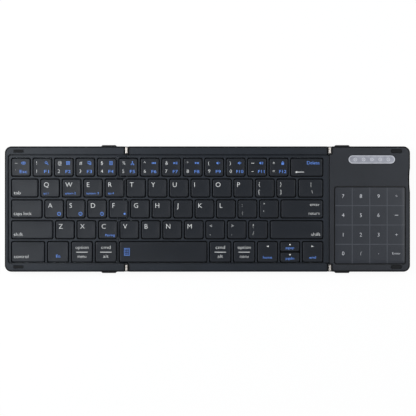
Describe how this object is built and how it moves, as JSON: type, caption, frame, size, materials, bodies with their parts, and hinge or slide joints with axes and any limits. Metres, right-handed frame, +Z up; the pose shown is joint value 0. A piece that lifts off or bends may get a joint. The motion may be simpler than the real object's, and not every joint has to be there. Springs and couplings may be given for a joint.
{
  "type": "folding keyboard",
  "caption": "Thin tri-fold keyboard with a middle key panel, a key wing on the left and a touch pad wing on the right that hinge up and over onto it.",
  "frame": {"origin": "middle of the unfolded keyboard's footprint, on the table under its rubber feet", "axes": "+X along the keyboard to the touch pad end, +Y to the rear edge with the number row, +Z up from the table"},
  "size_m": [0.305, 0.0966, 0.0098],
  "materials": {
    "dark_shell": "fine matt charcoal plastic, lower shells",
    "frame_plastic": "fine matt charcoal plastic, deck and rims",
    "cover_plastic": "fine matt charcoal plastic, touch pad cover",
    "keycap_plastic": "matt charcoal keycaps with pale legends",
    "touchpad_surface": "smooth satin touch surface with a number grid",
    "window_plastic": "translucent silver grey status window",
    "foot_rubber": "black rubber",
    "dome_rubber": "grey silicone",
    "hinge_steel": "polished hinge knuckles",
    "pin_steel": "ground steel pins",
    "plate_steel": "stamped steel plate",
    "membrane_film": "clear printed film",
    "link_plastic": "white moulded links",
    "board": "green solder mask",
    "battery_foil": "foil pouch",
    "socket_shell": "nickel plated socket shell",
    "knob_plastic": "black switch knob",
    "screw_steel": "black oxide steel screws"
  },
  "bodies": {
    "centre_panel": {"centre_base_shell": "dark_shell", "centre_top_frame": "frame_plastic", "centre_switch_plate": "plate_steel", "centre_membrane": "membrane_film", "centre_rubber_domes": "dome_rubber", "centre_scissor_links": "link_plastic", "centre_feet": "foot_rubber", "centre_screws": "screw_steel", "left_hinge_centre_leaves": "hinge_steel", "left_hinge_pins": "pin_steel", "right_hinge_centre_leaves": "hinge_steel", "right_hinge_pins": "pin_steel"},
    "left_wing": {"left_base_shell": "dark_shell", "left_top_frame": "frame_plastic", "left_switch_plate": "plate_steel", "left_membrane": "membrane_film", "left_rubber_domes": "dome_rubber", "left_scissor_links": "link_plastic", "left_foot_strip": "foot_rubber", "left_screws": "screw_steel", "left_bumper_pads": "foot_rubber", "left_hinge_wing_leaves": "hinge_steel"},
    "right_wing": {"right_base_shell": "dark_shell", "right_top_cover": "cover_plastic", "touchpad_face": "touchpad_surface", "touchpad_board": "board", "status_window": "window_plastic", "main_board": "board", "battery": "battery_foil", "charging_socket": "socket_shell", "right_foot_strip": "foot_rubber", "right_screws": "screw_steel", "right_bumper_pads": "foot_rubber", "right_hinge_wing_leaves": "hinge_steel"},
    "power_switch": {"power_switch_knob": "knob_plastic"},
    "number_keys_left": {"number_keys_left": "keycap_plastic"},
    "tab_key": {"tab_key": "keycap_plastic"},
    "letter_keys_q_to_r": {"letter_keys_q_to_r": "keycap_plastic"},
    "caps_lock_key": {"caps_lock_key": "keycap_plastic"},
    "letter_keys_a_to_f": {"letter_keys_a_to_f": "keycap_plastic"},
    "left_shift_key": {"left_shift_key": "keycap_plastic"},
    "letter_keys_z_to_c": {"letter_keys_z_to_c": "keycap_plastic"},
    "control_key": {"control_key": "keycap_plastic"},
    "function_key": {"function_key": "keycap_plastic"},
    "left_option_key": {"left_option_key": "keycap_plastic"},
    "left_command_key": {"left_command_key": "keycap_plastic"},
    "number_keys_centre": {"number_keys_centre": "keycap_plastic"},
    "delete_key": {"delete_key": "keycap_plastic"},
    "letter_keys_t_to_bracket": {"letter_keys_t_to_bracket": "keycap_plastic"},
    "backslash_key": {"backslash_key": "keycap_plastic"},
    "letter_keys_g_to_quote": {"letter_keys_g_to_quote": "keycap_plastic"},
    "enter_key": {"enter_key": "keycap_plastic"},
    "letter_keys_v_to_slash": {"letter_keys_v_to_slash": "keycap_plastic"},
    "right_shift_key": {"right_shift_key": "keycap_plastic"},
    "space_bar": {"space_bar": "keycap_plastic"},
    "right_modifier_keys": {"right_modifier_keys": "keycap_plastic"},
    "left_arrow_key": {"left_arrow_key": "keycap_plastic"},
    "up_arrow_key": {"up_arrow_key": "keycap_plastic"},
    "down_arrow_key": {"down_arrow_key": "keycap_plastic"},
    "right_arrow_key": {"right_arrow_key": "keycap_plastic"}
  },
  "joints": [
    {"name": "left_wing_fold", "type": "hinge", "parent": "centre_panel", "child": "left_wing", "pos_m": [-0.06087, 0, 0.0082], "axis": [0, 1, 0], "range_deg": [0, 180]},
    {"name": "right_wing_fold", "type": "hinge", "parent": "centre_panel", "child": "right_wing", "pos_m": [0.09202, 0, 0.0082], "axis": [0, -1, 0], "range_deg": [0, 180]},
    {"name": "power_switch_slide", "type": "slide", "parent": "right_wing", "child": "power_switch", "axis": [0, -1, 0], "range_m": [0, 0.002]},
    {"name": "number_keys_left_press", "type": "slide", "parent": "left_wing", "child": "number_keys_left", "axis": [0, 0, -1], "range_m": [0, 0.0014], "stiffness_N_per_m": 420, "deforming": ["left_rubber_domes", "left_scissor_links"]},
    {"name": "tab_key_press", "type": "slide", "parent": "left_wing", "child": "tab_key", "axis": [0, 0, -1], "range_m": [0, 0.0014], "stiffness_N_per_m": 420, "deforming": ["left_rubber_domes", "left_scissor_links"]},
    {"name": "letter_keys_q_to_r_press", "type": "slide", "parent": "left_wing", "child": "letter_keys_q_to_r", "axis": [0, 0, -1], "range_m": [0, 0.0014], "stiffness_N_per_m": 420, "deforming": ["left_rubber_domes", "left_scissor_links"]},
    {"name": "caps_lock_key_press", "type": "slide", "parent": "left_wing", "child": "caps_lock_key", "axis": [0, 0, -1], "range_m": [0, 0.0014], "stiffness_N_per_m": 420, "deforming": ["left_rubber_domes", "left_scissor_links"]},
    {"name": "letter_keys_a_to_f_press", "type": "slide", "parent": "left_wing", "child": "letter_keys_a_to_f", "axis": [0, 0, -1], "range_m": [0, 0.0014], "stiffness_N_per_m": 420, "deforming": ["left_rubber_domes", "left_scissor_links"]},
    {"name": "left_shift_key_press", "type": "slide", "parent": "left_wing", "child": "left_shift_key", "axis": [0, 0, -1], "range_m": [0, 0.0014], "stiffness_N_per_m": 420, "deforming": ["left_rubber_domes", "left_scissor_links"]},
    {"name": "letter_keys_z_to_c_press", "type": "slide", "parent": "left_wing", "child": "letter_keys_z_to_c", "axis": [0, 0, -1], "range_m": [0, 0.0014], "stiffness_N_per_m": 420, "deforming": ["left_rubber_domes", "left_scissor_links"]},
    {"name": "control_key_press", "type": "slide", "parent": "left_wing", "child": "control_key", "axis": [0, 0, -1], "range_m": [0, 0.0014], "stiffness_N_per_m": 420, "deforming": ["left_rubber_domes", "left_scissor_links"]},
    {"name": "function_key_press", "type": "slide", "parent": "left_wing", "child": "function_key", "axis": [0, 0, -1], "range_m": [0, 0.0014], "stiffness_N_per_m": 420, "deforming": ["left_rubber_domes", "left_scissor_links"]},
    {"name": "left_option_key_press", "type": "slide", "parent": "left_wing", "child": "left_option_key", "axis": [0, 0, -1], "range_m": [0, 0.0014], "stiffness_N_per_m": 420, "deforming": ["left_rubber_domes", "left_scissor_links"]},
    {"name": "left_command_key_press", "type": "slide", "parent": "left_wing", "child": "left_command_key", "axis": [0, 0, -1], "range_m": [0, 0.0014], "stiffness_N_per_m": 420, "deforming": ["left_rubber_domes", "left_scissor_links"]},
    {"name": "number_keys_centre_press", "type": "slide", "parent": "centre_panel", "child": "number_keys_centre", "axis": [0, 0, -1], "range_m": [0, 0.0014], "stiffness_N_per_m": 420, "deforming": ["centre_rubber_domes", "centre_scissor_links"]},
    {"name": "delete_key_press", "type": "slide", "parent": "centre_panel", "child": "delete_key", "axis": [0, 0, -1], "range_m": [0, 0.0014], "stiffness_N_per_m": 420, "deforming": ["centre_rubber_domes", "centre_scissor_links"]},
    {"name": "letter_keys_t_to_bracket_press", "type": "slide", "parent": "centre_panel", "child": "letter_keys_t_to_bracket", "axis": [0, 0, -1], "range_m": [0, 0.0014], "stiffness_N_per_m": 420, "deforming": ["centre_rubber_domes", "centre_scissor_links"]},
    {"name": "backslash_key_press", "type": "slide", "parent": "centre_panel", "child": "backslash_key", "axis": [0, 0, -1], "range_m": [0, 0.0014], "stiffness_N_per_m": 420, "deforming": ["centre_rubber_domes", "centre_scissor_links"]},
    {"name": "letter_keys_g_to_quote_press", "type": "slide", "parent": "centre_panel", "child": "letter_keys_g_to_quote", "axis": [0, 0, -1], "range_m": [0, 0.0014], "stiffness_N_per_m": 420, "deforming": ["centre_rubber_domes", "centre_scissor_links"]},
    {"name": "enter_key_press", "type": "slide", "parent": "centre_panel", "child": "enter_key", "axis": [0, 0, -1], "range_m": [0, 0.0014], "stiffness_N_per_m": 420, "deforming": ["centre_rubber_domes", "centre_scissor_links"]},
    {"name": "letter_keys_v_to_slash_press", "type": "slide", "parent": "centre_panel", "child": "letter_keys_v_to_slash", "axis": [0, 0, -1], "range_m": [0, 0.0014], "stiffness_N_per_m": 420, "deforming": ["centre_rubber_domes", "centre_scissor_links"]},
    {"name": "right_shift_key_press", "type": "slide", "parent": "centre_panel", "child": "right_shift_key", "axis": [0, 0, -1], "range_m": [0, 0.0014], "stiffness_N_per_m": 420, "deforming": ["centre_rubber_domes", "centre_scissor_links"]},
    {"name": "space_bar_press", "type": "slide", "parent": "centre_panel", "child": "space_bar", "axis": [0, 0, -1], "range_m": [0, 0.0014], "stiffness_N_per_m": 420, "deforming": ["centre_rubber_domes", "centre_scissor_links"]},
    {"name": "right_modifier_keys_press", "type": "slide", "parent": "centre_panel", "child": "right_modifier_keys", "axis": [0, 0, -1], "range_m": [0, 0.0014], "stiffness_N_per_m": 420, "deforming": ["centre_rubber_domes", "centre_scissor_links"]},
    {"name": "left_arrow_key_press", "type": "slide", "parent": "centre_panel", "child": "left_arrow_key", "axis": [0, 0, -1], "range_m": [0, 0.0014], "stiffness_N_per_m": 420, "deforming": ["centre_rubber_domes", "centre_scissor_links"]},
    {"name": "up_arrow_key_press", "type": "slide", "parent": "centre_panel", "child": "up_arrow_key", "axis": [0, 0, -1], "range_m": [0, 0.0014], "stiffness_N_per_m": 420, "deforming": ["centre_rubber_domes", "centre_scissor_links"]},
    {"name": "down_arrow_key_press", "type": "slide", "parent": "centre_panel", "child": "down_arrow_key", "axis": [0, 0, -1], "range_m": [0, 0.0014], "stiffness_N_per_m": 420, "deforming": ["centre_rubber_domes", "centre_scissor_links"]},
    {"name": "right_arrow_key_press", "type": "slide", "parent": "centre_panel", "child": "right_arrow_key", "axis": [0, 0, -1], "range_m": [0, 0.0014], "stiffness_N_per_m": 420, "deforming": ["centre_rubber_domes", "centre_scissor_links"]}
  ]
}
